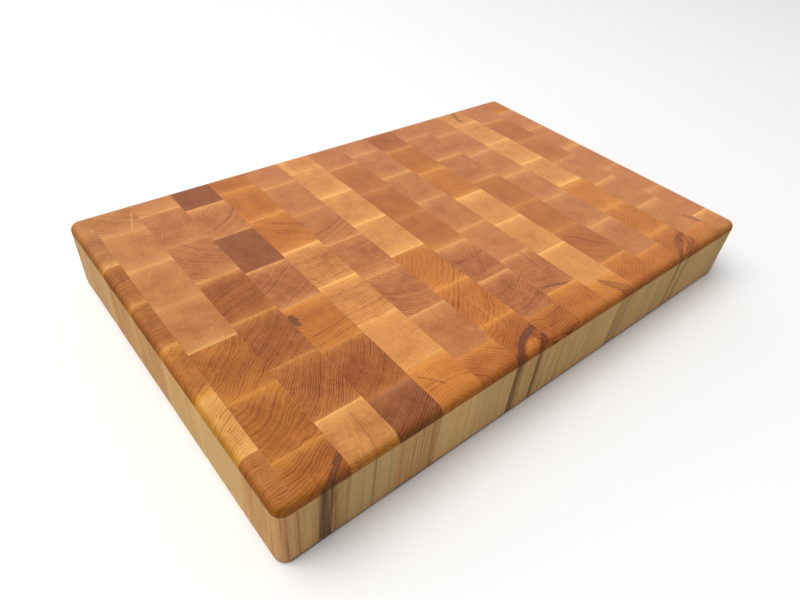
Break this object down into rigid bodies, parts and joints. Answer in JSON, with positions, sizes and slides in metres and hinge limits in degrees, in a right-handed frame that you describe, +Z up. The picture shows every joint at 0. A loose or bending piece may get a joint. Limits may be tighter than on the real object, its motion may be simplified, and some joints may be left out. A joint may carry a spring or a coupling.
{
  "type": "end grain cutting board",
  "caption": "Thick rectangular butcher-block cutting board: end-grain hardwood blocks glued in staggered rows, with rounded edges and flat faces.",
  "frame": {"origin": "centre of the flat bottom face that the board rests on", "axes": "+X along the board's length, +Y across its width towards the back, +Z up out of the work face"},
  "size_m": [0.457, 0.292, 0.054],
  "materials": {
    "pale_wood": "end grain, pale gold, oiled, satin",
    "amber_wood": "end grain, orange amber, oiled, satin",
    "tan_wood": "end grain, pinkish tan, oiled, satin",
    "rust_wood": "end grain, reddish brown, oiled, satin",
    "dark_wood": "end grain, dark purplish brown, oiled, satin",
    "glue": "cured wood glue, yellowish brown, flush with the wood"
  },
  "bodies": {
    "root": {"glue_between_blocks": "glue", "glue_between_strips": "glue", "strip_01_amber_blocks": "amber_wood", "strip_01_pale_blocks": "pale_wood", "strip_01_rust_blocks": "rust_wood", "strip_01_tan_blocks": "tan_wood", "strip_02_amber_blocks": "amber_wood", "strip_02_tan_blocks": "tan_wood", "strip_03_pale_blocks": "pale_wood", "strip_03_rust_blocks": "rust_wood", "strip_03_tan_blocks": "tan_wood", "strip_04_amber_blocks": "amber_wood", "strip_04_dark_blocks": "dark_wood", "strip_04_rust_blocks": "rust_wood", "strip_04_tan_blocks": "tan_wood", "strip_05_amber_blocks": "amber_wood", "strip_05_pale_blocks": "pale_wood", "strip_06_amber_blocks": "amber_wood", "strip_06_tan_blocks": "tan_wood", "strip_07_amber_blocks": "amber_wood", "strip_07_pale_blocks": "pale_wood", "strip_08_amber_blocks": "amber_wood", "strip_08_rust_blocks": "rust_wood", "strip_08_tan_blocks": "tan_wood", "strip_09_amber_blocks": "amber_wood", "strip_09_tan_blocks": "tan_wood", "strip_10_amber_blocks": "amber_wood", "strip_10_pale_blocks": "pale_wood", "strip_10_rust_blocks": "rust_wood", "strip_11_amber_blocks": "amber_wood", "strip_11_rust_blocks": "rust_wood", "strip_11_tan_blocks": "tan_wood", "strip_12_amber_blocks": "amber_wood", "strip_12_tan_blocks": "tan_wood", "strip_13_amber_blocks": "amber_wood", "strip_13_pale_blocks": "pale_wood", "strip_14_amber_blocks": "amber_wood", "strip_14_rust_blocks": "rust_wood", "strip_14_tan_blocks": "tan_wood", "strip_15_amber_blocks": "amber_wood", "strip_15_pale_blocks": "pale_wood", "strip_15_tan_blocks": "tan_wood"}
  },
  "joints": []
}
